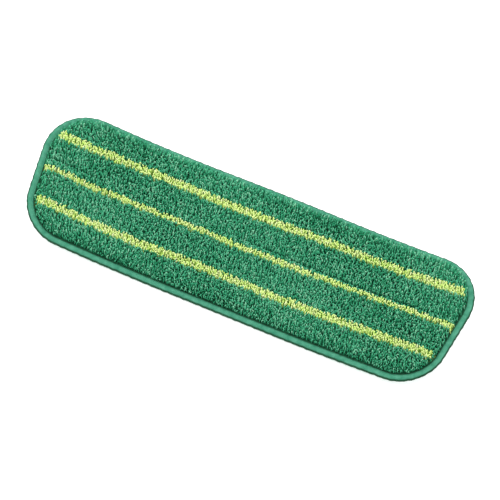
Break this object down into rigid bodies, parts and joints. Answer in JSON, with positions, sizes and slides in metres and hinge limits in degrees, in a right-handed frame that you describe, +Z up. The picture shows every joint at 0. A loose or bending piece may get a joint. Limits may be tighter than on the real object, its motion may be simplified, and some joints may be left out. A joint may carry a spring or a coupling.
{
  "type": "flat mop pad",
  "caption": "Long trapezoid microfibre flat-mop pad: looped pile with contrasting stripes on one face, loop-faced backing on the other, bound round the edge.",
  "frame": {"origin": "middle of the pad's back face, on the surface the pad lies on", "axes": "+X along the pad's length, +Y across it towards the longer long edge, +Z up out of the pile"},
  "size_m": [0.47, 0.144, 0.0251],
  "materials": {
    "green_microfibre": "matte looped pile",
    "yellow_microfibre": "matte looped pile",
    "binding_tape": "soft knitted tape",
    "sewing_thread": "spun polyester thread",
    "ground_knit": "fine warp knit",
    "core_felt": "needled felt",
    "backing_loop_cloth": "brushed loop knit"
  },
  "bodies": {
    "root": {"backing_cloth": "backing_loop_cloth", "absorbent_core": "core_felt", "pile_ground_cloth": "ground_knit", "green_pile_far": "green_microfibre", "green_pile_mid_far": "green_microfibre", "green_pile_mid_near": "green_microfibre", "green_pile_near": "green_microfibre", "yellow_pile_far": "yellow_microfibre", "yellow_pile_middle": "yellow_microfibre", "yellow_pile_near": "yellow_microfibre", "edge_binding": "binding_tape", "binding_seam_face": "sewing_thread", "binding_seam_back": "sewing_thread"}
  },
  "joints": []
}
